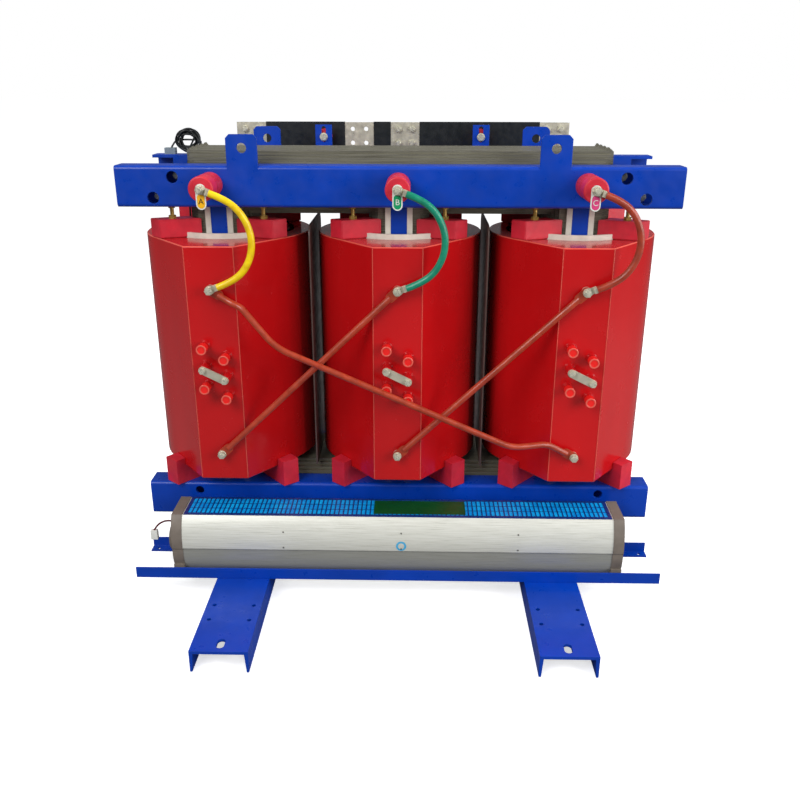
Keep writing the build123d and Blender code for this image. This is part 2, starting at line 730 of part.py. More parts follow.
# Fan lead: corner points from the left end plate to its plug.
FAN_LEAD = [
    (-598.0, -322.0, 200.0),
    (-612.0, -323.0, 203.0),
    (-628.0, -325.0, 200.0),
    (-643.0, -327.0, 190.0),
    (-652.0, -328.0, 176.0),
]
FAN_LEAD_R = 2.5


def fan_plug():
    return block((-661, -643), (-334, -322), (150, 176))


# ---------------------------------------------------------------- low-voltage side
def bar_holes(x, z):
    """Places of the four bolts of a bar joint."""
    half = BAR_HOLE_PITCH / 2
    return [(x + i * half, z + k * half) for i in SIDES for k in SIDES]


def drilled(bar, x, z, y):
    """The bar with the four bolt holes of a joint."""
    for hx, hz in bar_holes(x, z):
        bar -= cylinder_y(BAR_HOLE_R, hx, (y - 1, y + BAR_THICK + 1), hz)
    return bar


def neutral_riser(joint_x):
    """Flat bar from the winding's top, back under the clamp and up to the neutral bar."""
    x = (joint_x - BAR_WIDTH / 2, joint_x + BAR_WIDTH / 2)
    y = NEUTRAL_Y + BAR_THICK
    riser = block(x, (LV_LEAD_Y, LV_LEAD_Y + BAR_THICK), (COIL_Z[1], LV_LEAD_Z))
    riser += block(x, (LV_LEAD_Y, y + BAR_THICK), (LV_LEAD_Z, LV_LEAD_Z + BAR_THICK))
    riser += block(x, (y, y + BAR_THICK), (LV_LEAD_Z, NEUTRAL_TOP))
    return drilled(riser, joint_x, NEUTRAL_TOP - BAR_WIDTH / 2, y)


def phase_bar(x):
    """Flat bar from the winding's foot, back over the lower clamp and up to its terminal."""
    wide = (x - BAR_WIDTH / 2, x + BAR_WIDTH / 2)
    y = LV_TERMINAL_Y
    bar = block(wide, (LV_LEAD_Y, LV_LEAD_Y + BAR_THICK), (LV_PHASE_Z, COIL_Z[0]))
    bar += block(wide, (LV_LEAD_Y, y + BAR_THICK), (LV_PHASE_Z, LV_PHASE_Z + BAR_THICK))
    bar += block(wide, (y, y + BAR_THICK), (LV_PHASE_Z, LV_TERMINAL_TOP))
    return drilled(bar, x, LV_TERMINAL_TOP - BAR_WIDTH / 2, y)


def neutral_bar():
    y = (NEUTRAL_Y, NEUTRAL_Y + BAR_THICK)
    z = (NEUTRAL_TOP - BAR_WIDTH, NEUTRAL_TOP)
    bar = block((-NEUTRAL_HALF_LENGTH, NEUTRAL_HALF_LENGTH), y, z)
    for x in (*NEUTRAL_JOINTS, NEUTRAL_TERMINAL_X):
        bar = drilled(bar, x, NEUTRAL_TOP - BAR_WIDTH / 2, NEUTRAL_Y)
    return bar


def neutral_sleeves():
    """Insulating sleeve on the bare stretches of the neutral bar."""
    edge = BAR_WIDTH / 2 + 4
    stops = sorted([*NEUTRAL_JOINTS, NEUTRAL_TERMINAL_X])
    pieces = []
    y = (NEUTRAL_Y - SLEEVE_THICK, NEUTRAL_Y + BAR_THICK + SLEEVE_THICK)
    z = (NEUTRAL_TOP - BAR_WIDTH - SLEEVE_THICK, NEUTRAL_TOP + SLEEVE_THICK)
    for left, right in zip(stops, stops[1:]):
        sleeve = block((left + edge, right - edge), y, z)
        pieces.append(sleeve - block((left, right), (NEUTRAL_Y, NEUTRAL_Y + BAR_THICK), (z[0] + SLEEVE_THICK, NEUTRAL_TOP)))
    return pieces


def neutral_joint_bolts():
    pieces = []
    back = NEUTRAL_Y + 2 * BAR_THICK
    for x in NEUTRAL_JOINTS:
        for hx, hz in bar_holes(x, NEUTRAL_TOP - BAR_WIDTH / 2):
            bolt = cylinder_y(BAR_HOLE_R - 0.5, hx, (NEUTRAL_Y - 12, back + 14), hz)
            for y in ((NEUTRAL_Y - 2, NEUTRAL_Y), (back, back + 2)):
                bolt += cylinder_y(10, hx, y, hz)
            for y in ((NEUTRAL_Y - 10, NEUTRAL_Y - 2), (back + 2, back + 11)):
                bolt += hexagon_y(16, hx, y, hz)
            pieces.append(bolt)
    return pieces


BRACKET_Y = NEUTRAL_Y - SLEEVE_THICK - 40.0


def neutral_bracket(x):
    """Bent plate from the rear clamp's web, with a slot for the insulator's bolt."""
    wide = (x - BRACKET_WIDTH / 2, x + BRACKET_WIDTH / 2)
    arm_z = (UPPER_CLAMP_Z[1] - 15, UPPER_CLAMP_Z[1] - 15 + BRACKET_THICK)
    top = NEUTRAL_TOP - 5
    plate = block(wide, (CLAMP_FACE, BRACKET_Y), arm_z)
    plate += block(wide, (CLAMP_FACE, CLAMP_FACE + BRACKET_THICK), (UPPER_CLAMP_Z[0] + 30, arm_z[1]))
    plate += block(wide, (BRACKET_Y - BRACKET_THICK, BRACKET_Y), (arm_z[0], top))
    slot = Plane.XZ * (Pos(x, NEUTRAL_TOP - BAR_WIDTH / 2 + 8) * Rot(0, 0, 90) * SlotOverall(46, 13))
    return plate - Pos(0, BRACKET_Y + 1, 0) * extrude(slot, amount=BRACKET_THICK + 2)


def bracket_insulators():
    pieces = []
    z = NEUTRAL_TOP - BAR_WIDTH / 2
    for side in SIDES:
        pieces.append(cylinder_y(22, side * BRACKET_X, (BRACKET_Y, NEUTRAL_Y - SLEEVE_THICK), z))
    return pieces


def bracket_bolts():
    pieces = []
    z = NEUTRAL_TOP - BAR_WIDTH / 2
    seat = BRACKET_Y - BRACKET_THICK
    for side in SIDES:
        bolt = cylinder_y(12, side * BRACKET_X, (seat - 2.5, seat), z)
        bolt += hexagon_y(18, side * BRACKET_X, (seat - 11, seat - 2.5), z)
        bolt += cylinder_y(5.5, side * BRACKET_X, (seat - 2.5, BRACKET_Y), z)
        pieces.append(bolt)
    return pieces


# Sensor cable: corner points from the top of the left winding to its tied hank.
SENSOR_TAIL = [
    (-590.0, 76.0, 929.0),
    (-588.0, 74.0, 972.0),
    (-591.0, 78.0, 1024.0),
    (-587.0, 76.0, 1074.0),
    (-584.0, 90.0, 1114.0),
    (-585.0, 117.0, 1134.0),
    (-590.0, 137.0, 1130.0),
]
SENSOR_R = 2.5
HANK_MIDDLE = (-600.0, 163.0, 1148.0)
HANK_RING_R = 25.0
HANK_THICK_R = 12.0


def sensor_hank():
    return Pos(*HANK_MIDDLE) * Rot(90, 0, 0) * Torus(HANK_RING_R, HANK_THICK_R)


def sensor_plug():
    low = UPPER_CLAMP_Z[1]
    return block((-668, -638), (152, 174), (low, low + 17))


# ---------------------------------------------------------------- nodes
save("left_base_channel", base_channel(-1))
save("right_base_channel", base_channel(1))
save("clamp_feet", [clamp_foot(side, face) for side in SIDES for face in SIDES])
save("core", core())
save("upper_yoke", upper_yoke())

front_upper = upper_clamp()
front_lower = clamp(LOWER_CLAMP_Z, LOWER_CLAMP_LENGTH, LOWER_TIES, ACCESS_HOLE_R - 2.5)
save("front_upper_clamp", front_upper)
save("rear_upper_clamp", flipped(front_upper))
save("front_lower_clamp", front_lower)
save("rear_lower_clamp", flipped(front_lower))
save("upper_tie_bolts", [tie_bolt(side * x, z) for side in SIDES for x, z in UPPER_TIES])
save("lower_tie_bolts", [tie_bolt(side * x, z) for side in SIDES for x, z in LOWER_TIES])
save("limb_tie_plates", limb_plates(TIE_PLATE_WIDTH, 0.0))
save("limb_strips", limb_plates(STRIP_WIDTH, (TIE_PLATE_WIDTH + STRIP_WIDTH) / 2 + FIT))

bolt_stack = {TOP_TERMINAL_Z: CABLE_PALM_Y, BOTTOM_TERMINAL_Z: ROD_Y - PALM_THICK / 2}
for phase, phase_x in PHASES.items():
    save(f"hv_coil_{phase}", hv_coil(phase_x))
    save(f"lv_coil_{phase}", lv_coil(phase_x))
    save(f"jumper_cable_{phase}", cord_tube([(phase_x + dx, y, z) for dx, y, z in JUMPER], CABLE_R))
save("neutral_risers", [neutral_riser(x) for x in NEUTRAL_JOINTS])
save("phase_bars", [phase_bar(x) for x in PHASES.values()])
save("top_blocks", [piece for x in PHASES.values() for piece in top_blocks(x)])
save("bottom_blocks", [piece for x in PHASES.values() for piece in bottom_blocks(x)])
save("tap_links", [link_bar(x) for x in PHASES.values()])
save("tap_link_bolts", [bolt for x in PHASES.values() for bolt in link_bolts(x)])
save("coil_terminal_bolts", [terminal_bolt(x, z, y) for x in PHASES.values() for z, y in bolt_stack.items()])
save("gap_boards", gap_boards())
save("pressing_bolts", pressing_bolts())
save("left_phase_barrier", barrier(-1))
save("right_phase_barrier", barrier(1))
for pair, route in rod_routes().items():
    save(f"delta_rod_{pair}", connecting_rod(route))

post_places = (-POST_X, 0.0, POST_X)
save("post_insulators", [post(x) for x in post_places])
save("post_studs", [post_stud(x) for x in post_places])
save("phase_tags", [phase_tag(x) for x in post_places])
save("cable_lugs", cable_lugs())

save("front_fan_rail", angle_rail(-RAIL_FRONT_Y, 1))
save("inner_fan_rail", angle_rail(-RAIL_INNER_Y, -1))
save("fan_housing", fan_housing())
save("fan_grille", fan_grille())
save("left_fan_end", fan_end(-1))
save("right_fan_end", fan_end(1))
save("fan_motor", fan_motor())
save("fan_impeller", impeller())
save("fan_lead", cord_tube(FAN_LEAD, FAN_LEAD_R))
save("fan_plug", fan_plug())

save("neutral_bar", neutral_bar())
save("neutral_sleeves", neutral_sleeves())
save("neutral_joint_bolts", neutral_joint_bolts())
save("neutral_brackets", [neutral_bracket(side * BRACKET_X) for side in SIDES])
save("bracket_insulators", bracket_insulators())
save("bracket_bolts", bracket_bolts())
save("sensor_cable_tail", cord_tube(SENSOR_TAIL, SENSOR_R))
save("sensor_cable_hank", sensor_hank())
save("sensor_plug", sensor_plug())
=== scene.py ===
"""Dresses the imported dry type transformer: finishes, cords, film, tags, studio and camera."""

import math

import bmesh
import bpy
from mathutils import Matrix, Vector


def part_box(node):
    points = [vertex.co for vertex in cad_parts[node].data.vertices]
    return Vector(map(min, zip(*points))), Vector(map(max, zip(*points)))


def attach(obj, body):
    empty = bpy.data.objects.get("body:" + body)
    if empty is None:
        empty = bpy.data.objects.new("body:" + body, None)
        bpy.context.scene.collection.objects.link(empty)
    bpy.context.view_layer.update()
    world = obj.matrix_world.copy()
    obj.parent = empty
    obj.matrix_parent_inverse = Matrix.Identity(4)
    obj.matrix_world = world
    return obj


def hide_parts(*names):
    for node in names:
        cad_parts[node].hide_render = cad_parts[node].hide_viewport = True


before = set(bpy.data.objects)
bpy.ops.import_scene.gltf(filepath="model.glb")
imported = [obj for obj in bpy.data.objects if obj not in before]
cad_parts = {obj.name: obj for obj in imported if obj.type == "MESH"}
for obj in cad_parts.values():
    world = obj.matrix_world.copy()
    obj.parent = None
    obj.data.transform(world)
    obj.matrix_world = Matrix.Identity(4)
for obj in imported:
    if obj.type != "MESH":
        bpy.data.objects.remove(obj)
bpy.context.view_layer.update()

BODY = "frame"  # every piece made here rides on the body that stands still
PHASE_PITCH = 0.462
PHASE_X = {"a": -PHASE_PITCH, "b": 0.0, "c": PHASE_PITCH}


# ---------------------------------------------------------------- colour and shader helpers
def linear(red, green, blue):
    """Linear colour from 0-255 screen values."""
    out = []
    for value in (red, green, blue):
        v = value / 255
        out.append(v / 12.92 if v <= 0.04045 else ((v + 0.055) / 1.055) ** 2.4)
    return (*out, 1.0)


class Shader:
    """A Principled material with a few helpers for its node graph."""

    def __init__(self, name, color, rough=0.4, metal=0.0, coat=0.0, specular=0.5):
        self.material = bpy.data.materials.new(name)
        self.material.use_nodes = True
        self.tree = self.material.node_tree
        self.bsdf = self.tree.nodes["Principled BSDF"]
        self.bsdf.inputs["Base Color"].default_value = color
        self.bsdf.inputs["Roughness"].default_value = rough
        self.bsdf.inputs["Metallic"].default_value = metal
        self.bsdf.inputs["Coat Weight"].default_value = coat
        self.bsdf.inputs["Coat Roughness"].default_value = 0.08
        self.bsdf.inputs["Specular IOR Level"].default_value = specular
        self.normal = None

    def node(self, kind, **inputs):
        made = self.tree.nodes.new(kind)
        for key, value in inputs.items():
            made.inputs[key.replace("_", " ")].default_value = value
        return made

    def link(self, out, into):
        self.tree.links.new(out, into)

    def noise(self, scale, stretch=(1, 1, 1), detail=4.0, rough=0.55):
        """Noise in the object's own metres, scaled along each axis."""
        place = self.node("ShaderNodeTexCoord")
        mapping = self.node("ShaderNodeMapping", Scale=stretch)
        self.link(place.outputs["Object"], mapping.inputs["Vector"])
        noise = self.node("ShaderNodeTexNoise", Scale=scale, Detail=detail, Roughness=rough)
        self.link(mapping.outputs["Vector"], noise.inputs["Vector"])
        return noise.outputs["Fac"]

    def ramp(self, value, low, high, start=0.35, end=0.65):
        ramp = self.node("ShaderNodeValToRGB")
        ramp.color_ramp.elements[0].position, ramp.color_ramp.elements[0].color = start, low
        ramp.color_ramp.elements[1].position, ramp.color_ramp.elements[1].color = end, high
        self.link(value, ramp.inputs["Fac"])
        return ramp.outputs["Color"]

    def tint(self, value, low, high, start=0.35, end=0.65):
        """Base colour that runs from low to high with the value."""
        self.link(self.ramp(value, low, high, start, end), self.bsdf.inputs["Base Color"])
        return self

    def shine(self, value, low, high, start=0.3, end=0.7):
        """Roughness that runs between two levels with the value."""
        spread = self.node("ShaderNodeMapRange", From_Min=start, From_Max=end, To_Min=low, To_Max=high)
        self.link(value, spread.inputs["Value"])
        self.link(spread.outputs["Result"], self.bsdf.inputs["Roughness"])
        return self

    def edge(self, radius):
        """Softens sharp edges in the shading."""
        bevel = self.tree.nodes.new("ShaderNodeBevel")
        bevel.samples = 4
        bevel.inputs["Radius"].default_value = radius
        self.normal = bevel.outputs["Normal"]
        self.link(self.normal, self.bsdf.inputs["Normal"])
        return self

    def bump(self, value, strength, distance):
        bump = self.node("ShaderNodeBump", Strength=strength, Distance=distance)
        self.link(value, bump.inputs["Height"])
        if self.normal:
            self.link(self.normal, bump.inputs["Normal"])
        self.normal = bump.outputs["Normal"]
        self.link(self.normal, self.bsdf.inputs["Normal"])
        return self


def shade(color, factor):
    return (*[min(1.0, c * factor) for c in color[:3]], 1.0)


def paint(name, color, rough=0.33, coat=0.12):
    """Brushed enamel: slight orange peel, uneven gloss, a little dust."""
    made = Shader(name, color, rough, coat=coat, specular=0.35)
    made.edge(0.0015)
    made.tint(made.noise(9, detail=6), shade(color, 0.86), shade(color, 1.1), 0.3, 0.7)
    made.shine(made.noise(35), rough - 0.08, rough + 0.12)
    return made.bump(made.noise(420, detail=3), 0.16, 0.0006)


def resin(name, color):
    """Glossy cast resin with faint mould ripple."""
    made = Shader(name, color, 0.2, coat=0.3, specular=0.4)
    made.edge(0.0022)
    made.tint(made.noise(3.2, (1, 1, 0.35), detail=5), shade(color, 0.86), shade(color, 1.14), 0.3, 0.7)
    made.shine(made.noise(14), 0.14, 0.3)
    return made.bump(made.noise(26, (1, 1, 0.25), detail=2), 0.12, 0.0012)


def moulded(name, color, rough=0.45, grain=240):
    """Moulded plastic or rubbery sleeve with a fine grain."""
    made = Shader(name, color, rough)
    made.edge(0.0012)
    made.tint(made.noise(28, detail=5), shade(color, 0.85), shade(color, 1.12), 0.3, 0.7)
    made.shine(made.noise(60), rough - 0.1, rough + 0.1)
    return made.bump(made.noise(grain, detail=4), 0.25, 0.0007)


def sleeve(name, color):
    """Heat-shrink sleeve: half gloss, with long shrink wrinkles."""
    made = Shader(name, color, 0.34, coat=0.25)
    made.tint(made.noise(32, detail=6), shade(color, 0.72), shade(color, 1.25), 0.3, 0.7)
    made.shine(made.noise(80), 0.24, 0.5)
    return made.bump(made.noise(55, detail=5), 0.4, 0.0016)


def metal(name, color, rough=0.34, stretch=(1, 1, 1), scale=60, blotch=0.8):
    """Plated or bare metal with blotches and fine scratches along the stretch."""
    made = Shader(name, color, rough, metal=0.5)
    made.edge(0.0008)
    made.tint(made.noise(scale, stretch, detail=6), shade(color, blotch), shade(color, 1.1), 0.3, 0.7)
    made.shine(made.noise(scale * 2, stretch), rough - 0.1, rough + 0.14)
    return made.bump(made.noise(scale * 6, stretch, detail=3), 0.12, 0.0003)


def lamination(name):
    """Varnished stack of thin sheets: fine lines along X, darker in the joints."""
    made = Shader(name, linear(88, 84, 72), 0.45, metal=0.15)
    lines = made.noise(6, (0.8, 330, 330), detail=3, rough=0.7)
    made.tint(lines, linear(50, 48, 41), linear(146, 142, 122), 0.34, 0.68)
    made.shine(made.noise(20), 0.3, 0.55)
    return made.bump(lines, 0.35, 0.0008)


# ---------------------------------------------------------------- finishes of the CAD nodes
BLUE = paint("blue_enamel", linear(0, 60, 172))
LAMINATED = lamination("laminated_sheets")
RED = resin("cast_red_resin", linear(192, 16, 20))
LV_BROWN = resin("winding_brown_resin", linear(70, 34, 24))
PINK_RED = moulded("moulded_red", linear(208, 38, 56), 0.38)
BOARD_WHITE = moulded("glass_board_white", linear(222, 214, 200), 0.5)
BOARD_BROWN = moulded("barrier_board_brown", linear(92, 74, 68), 0.4)
TINNED = metal("tinned_copper", linear(214, 208, 186), 0.36, scale=45)
ZINC = metal("zinc_plate", linear(222, 218, 196), 0.3, scale=90)
BRASS = metal("brass", linear(196, 160, 84), 0.3)
ROD_SLEEVE = sleeve("rod_heat_shrink", linear(168, 58, 32))
YELLOW = sleeve("yellow_sleeve", linear(255, 204, 0))
GREEN = sleeve("green_sleeve", linear(6, 136, 104))
BROWN = sleeve("red_brown_sleeve", linear(160, 58, 34))


def fan_skin():
    """Satin aluminium drawn along X, with painted shade over its height: bright on the crown, a painted dark
    band under the seam.
    """
    made = Shader("satin_aluminium", linear(206, 206, 198), 0.32, metal=0.12)
    streak = made.noise(9, (1.5, 60, 60), detail=6)
    grain = made.ramp(streak, linear(214, 214, 202), linear(236, 236, 226), 0.3, 0.7)
    place = made.node("ShaderNodeTexCoord")
    split = made.tree.nodes.new("ShaderNodeSeparateXYZ")
    made.link(place.outputs["Object"], split.inputs["Vector"])
    low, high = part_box("fan_housing")
    height = made.node("ShaderNodeMapRange", From_Min=low[2], From_Max=high[2], To_Min=0.0, To_Max=1.0)
    made.link(split.outputs["Z"], height.inputs["Value"])
    # painted shade: a ramp over the housing's height that darkens the grain, most in a band under the seam
    shadow = made.node("ShaderNodeValToRGB")
    stops = [(0.0, 0.72), (0.28, 0.42), (0.44, 0.36), (0.47, 0.8), (0.7, 0.9), (0.95, 1.0)]
    elements = shadow.color_ramp.elements
    elements[0].position, elements[0].color = stops[0][0], (*[stops[0][1]] * 3, 1)
    elements[1].position, elements[1].color = stops[-1][0], (*[stops[-1][1]] * 3, 1)
    for position, level in stops[1:-1]:
        elements.new(position).color = (*[level] * 3, 1)
    made.link(height.outputs["Result"], shadow.inputs["Fac"])
    product = made.tree.nodes.new("ShaderNodeMix")
    product.data_type, product.blend_type = "RGBA", "MULTIPLY"
    product.inputs[0].default_value = 1.0
    pair = [s for s in product.inputs if s.type == "RGBA"]
    made.link(grain, pair[0])
    made.link(shadow.outputs["Color"], pair[1])
    made.link([s for s in product.outputs if s.type == "RGBA"][0], made.bsdf.inputs["Base Color"])
    made.shine(streak, 0.24, 0.42)
    return made.bump(streak, 0.08, 0.0003)


ALUMINIUM = fan_skin()
FAN_CAST = moulded("fan_end_plastic", linear(118, 108, 98), 0.5)
# lighter resin colour that paints the highlight on rims and edges
RIM_HIGHLIGHT = resin("edge_highlight_resin", linear(226, 92, 78))
BOSS_CAP = resin("boss_cap_resin", linear(236, 34, 30))
ROTOR = metal("rotor_aluminium", linear(190, 190, 190), 0.4)
BLACK = moulded("black_sleeve", linear(24, 28, 28), 0.38)
GREY = moulded("grey_plug_plastic", linear(128, 140, 146), 0.5)
WHITE = moulded("white_nylon", linear(232, 232, 224), 0.45)
LEAD = moulded("lead_wires", linear(96, 36, 42), 0.45)
FRAME_NAVY = moulded("grille_navy", linear(10, 48, 118), 0.32)
TAG_WHITE = moulded("tag_enamel_white", linear(226, 228, 220), 0.35)
TAG_YELLOW = moulded("tag_enamel_yellow", linear(244, 180, 12), 0.35)
TAG_GREEN = moulded("tag_enamel_green", linear(12, 148, 92), 0.35)
TAG_PINK = moulded("tag_enamel_pink", linear(216, 66, 124), 0.35)
INK = moulded("letter_black", linear(30, 28, 26), 0.4)
LABEL_GREEN = moulded("plain_green_label", linear(8, 74, 28), 0.4)
STICKER_BLUE = moulded("sticker_blue", linear(70, 170, 215), 0.4)
SCREW = metal("small_screws", linear(120, 118, 108), 0.4)


FILM_LINE_PITCH = 0.0275
FILM_LINE_SHARE = 0.12


def film_finish():
    """Thin film over the outlet, with dark lines along X where the grille's long ribs lie."""
    made = Shader("blue_film", linear(0, 160, 240), 0.4, specular=0.2)
    place = made.node("ShaderNodeTexCoord")
    split = made.tree.nodes.new("ShaderNodeSeparateXYZ")
    made.link(place.outputs["Object"], split.inputs["Vector"])

    def step(operation, value, factor=None):
        node = made.tree.nodes.new("ShaderNodeMath")
        node.operation = operation
        made.link(value, node.inputs[0])
        if factor is not None:
            node.inputs[1].default_value = factor
        return node.outputs[0]

    panes = step("FRACT", step("MULTIPLY", split.outputs["Y"], 1 / FILM_LINE_PITCH))
    line = step("LESS_THAN", panes, FILM_LINE_SHARE)
    patch = made.ramp(made.noise(30, detail=5), linear(0, 135, 222), linear(18, 180, 250), 0.3, 0.7)
    mix = made.tree.nodes.new("ShaderNodeMix")
    mix.data_type = "RGBA"
    pair = [s for s in mix.inputs if s.type == "RGBA"]
    made.link(patch, pair[0])
    pair[1].default_value = linear(4, 62, 140)
    made.link(line, mix.inputs[0])
    made.link([s for s in mix.outputs if s.type == "RGBA"][0], made.bsdf.inputs["Base Color"])
    return made.bump(made.noise(90, detail=3), 0.3, 0.0008)


FILM = film_finish()

FINISH = {
    BLUE: [
        "left_base_channel", "right_base_channel", "clamp_feet", "front_upper_clamp", "rear_upper_clamp",
        "front_lower_clamp", "rear_lower_clamp", "limb_tie_plates", "front_fan_rail", "inner_fan_rail",
        "neutral_brackets",
    ],
    LAMINATED: ["core", "upper_yoke"],
    RED: ["hv_coil_a", "hv_coil_b", "hv_coil_c"],
    LV_BROWN: ["lv_coil_a", "lv_coil_b", "lv_coil_c"],
    PINK_RED: ["top_blocks", "bottom_blocks", "post_insulators", "bracket_insulators"],
    BOARD_WHITE: ["gap_boards", "limb_strips"],
    BOARD_BROWN: ["left_phase_barrier", "right_phase_barrier"],
    TINNED: ["tap_links", "cable_lugs", "neutral_bar", "neutral_risers", "phase_bars"],
    ZINC: [
        "tap_link_bolts", "coil_terminal_bolts", "post_studs", "neutral_joint_bolts", "bracket_bolts",
        "upper_tie_bolts", "lower_tie_bolts",
    ],
    BRASS: ["pressing_bolts"],
    ROD_SLEEVE: ["delta_rod_ab", "delta_rod_bc", "delta_rod_ca"],
    ALUMINIUM: ["fan_housing"],
    FRAME_NAVY: ["fan_grille"],
    FAN_CAST: ["left_fan_end", "right_fan_end", "fan_motor"],
    ROTOR: ["fan_impeller"],
    BLACK: ["neutral_sleeves"],
    GREY: ["sensor_plug"],
    WHITE: ["fan_plug"],
    TAG_WHITE: ["phase_tags"],
}
for finish, nodes in FINISH.items():
    for node in nodes:
        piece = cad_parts[node]
        piece.data.materials.clear()
        piece.data.materials.append(finish.material)


# ---------------------------------------------------------------- pieces
def mesh_piece(name, build, finish, body=BODY):
    """A new piece whose mesh is filled by build(bm)."""
    mesh = bpy.data.meshes.new(name)
    bm = bmesh.new()
    build(bm)
    bmesh.ops.recalc_face_normals(bm, faces=bm.faces)
    bm.to_mesh(mesh)
    bm.free()
    made = bpy.data.objects.new(name, mesh)
    bpy.context.collection.objects.link(made)
    mesh.materials.append(finish.material)
    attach(made, body)
    return made


def add_box(bm, low, high, bevel=0.0):
    size = Vector(high) - Vector(low)
    middle = (Vector(high) + Vector(low)) / 2
    turn = Matrix.Translation(middle) @ Matrix.Diagonal((*size, 1))
    made = bmesh.ops.create_cube(bm, size=1, matrix=turn)
    if bevel:
        edges = {e for v in made["verts"] for e in v.link_edges}
        bmesh.ops.bevel(bm, geom=list(edges), offset=bevel, segments=2, affect="EDGES")


def add_disc_y(bm, middle, radius, thick, segments=40):
    """Short cylinder along Y; middle is the centre of its rear face."""
    turn = Matrix.Translation(Vector(middle) + Vector((0, -thick / 2, 0))) @ Matrix.Rotation(math.pi / 2, 4, "X")
    bmesh.ops.create_cone(
        bm, cap_ends=True, segments=segments, radius1=radius, radius2=radius, depth=thick, matrix=turn
    )


def add_prism(bm, outline, heights):
    """Upright prism on an outline given in X and Y."""
    foot, top = ([bm.verts.new((x, y, z)) for x, y in outline] for z in heights)
    bm.faces.new(foot)
    bm.faces.new(top[::-1])
    for k in range(len(outline)):
        n = (k + 1) % len(outline)
        bm.faces.new((foot[k], top[k], top[n], foot[n]))


def stadium(width, height, steps=16):
    """Upright rounded slot outline in X and Z about the origin."""
    radius = width / 2
    rise = height / 2 - radius
    points = []
    for sign, start in ((1, 0.0), (-1, math.pi)):
        for k in range(steps + 1):
            angle = start + math.pi * k / steps
            points.append((radius * math.cos(angle), sign * rise + radius * math.sin(angle)))
    return points


def add_plate(bm, outline, middle, thick):
    """Flat plate facing -Y with the outline given in X and Z."""
    x, y, z = middle
    front = [bm.verts.new((x + px, y - thick, z + pz)) for px, pz in outline]
    back = [bm.verts.new((x + px, y, z + pz)) for px, pz in outline]
    bm.faces.new(front)
    bm.faces.new(back[::-1])
    for k in range(len(outline)):
        n = (k + 1) % len(outline)
        bm.faces.new((front[k], back[k], back[n], front[n]))


def letter(name, text, size, middle, finish):
    """Generic phase letter facing -Y."""
    curve = bpy.data.curves.new(name, "FONT")
    curve.body, curve.size, curve.extrude = text, size, 0.0003
    curve.align_x, curve.align_y = "CENTER", "CENTER"
    shown = bpy.data.objects.new(name, curve)
    bpy.context.collection.objects.link(shown)
    shown.location, shown.rotation_euler = middle, (math.pi / 2, 0, 0)
    bpy.context.view_layer.update()
    mesh = bpy.data.meshes.new_from_object(shown.evaluated_get(bpy.context.evaluated_depsgraph_get()))
    mesh.transform(shown.matrix_world)
    bpy.data.objects.remove(shown)
    made = bpy.data.objects.new(name, mesh)
    bpy.context.collection.objects.link(made)
    mesh.materials.clear()
    mesh.materials.append(finish.material)
    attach(made, BODY)


# Winding edges: painted highlight, a lighter resin colour on the chamfered rims and on a bead down each facet
# edge.
FACET_HALF = 0.0615
FACET_Y = -0.274
RIM_REACH = 0.004  # faces this near the winding's ends are its chamfered rims
coil_low, coil_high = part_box("hv_coil_b")
for phase in PHASE_X:
    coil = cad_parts[f"hv_coil_{phase}"]
    coil.data.materials.append(RIM_HIGHLIGHT.material)
    for face in coil.data.polygons:
        at_rim = min(face.center.z - coil_low[2], coil_high[2] - face.center.z) < RIM_REACH
        if at_rim and 0.3 < abs(face.normal.z) < 0.95:
            face.material_index = 1
BEAD = 0.0011  # half the width of a bead
BEAD_INSET = 0.0002
BEAD_SINK = 0.0003
BEAD_END_GAP = 0.003
BEAD_ROUND = 0.0005


# each bead carries the lighter resin as a painted highlight down the facet edge
def build_highlight_beads(bm):
    for phase_x in PHASE_X.values():
        for side in (-1, 1):
            x, y = phase_x + side * (FACET_HALF - BEAD_INSET), FACET_Y + BEAD_SINK
            low = (x - BEAD, y - BEAD, coil_low[2] + BEAD_END_GAP)
            high = (x + BEAD, y + BEAD, coil_high[2] - BEAD_END_GAP)
            add_box(bm, low, high, BEAD_ROUND)


mesh_piece("coil_facet_highlight_beads", build_highlight_beads, RIM_HIGHLIGHT)

# Tap bosses: a plugged cap on each free boss.
BOSS_X = 0.027
BOSS_LEFT_Z = (0.677, 0.572)
BOSS_DROP = 0.027
BOSS_FACE = -0.312
BOSS_CAP_R = 0.0132
BOSS_CAP_REAR = 0.022  # how far behind the boss's face a cap begins
BOSS_CAP_LENGTH = 0.0225
BOSS_SIDES = 36
# radius and step forward of each circle of a cap's raised ring, from inside out
BOSS_RING = ((0.0092, -0.0008), (0.0096, -0.0020), (0.0124, -0.0020), (BOSS_CAP_R, -0.0010))


def boss_places():
    for phase_x in PHASE_X.values():
        for z in BOSS_LEFT_Z:
            yield phase_x - BOSS_X, z
            yield phase_x + BOSS_X, z - BOSS_DROP


def build_caps(bm):
    for x, z in boss_places():
        add_disc_y(bm, (x, BOSS_FACE + BOSS_CAP_REAR, z), BOSS_CAP_R, BOSS_CAP_LENGTH, BOSS_SIDES)


def build_cap_rims(bm):
    """Raised ring round each cap, in the lighter edge resin that paints a highlight on it."""
    turns = [2 * math.pi * k / BOSS_SIDES for k in range(BOSS_SIDES)]
    for x, z in boss_places():
        rings = [
            [bm.verts.new((x + radius * math.cos(a), BOSS_FACE + y, z + radius * math.sin(a))) for a in turns]
            for radius, y in BOSS_RING
        ]
        for inner, outer in zip(rings, rings[1:]):
            for k in range(BOSS_SIDES):
                n = (k + 1) % BOSS_SIDES
                bm.faces.new((inner[k], inner[n], outer[n], outer[k]))


mesh_piece("boss_caps", build_caps, BOSS_CAP)
mesh_piece("boss_cap_rims", build_cap_rims, RIM_HIGHLIGHT)

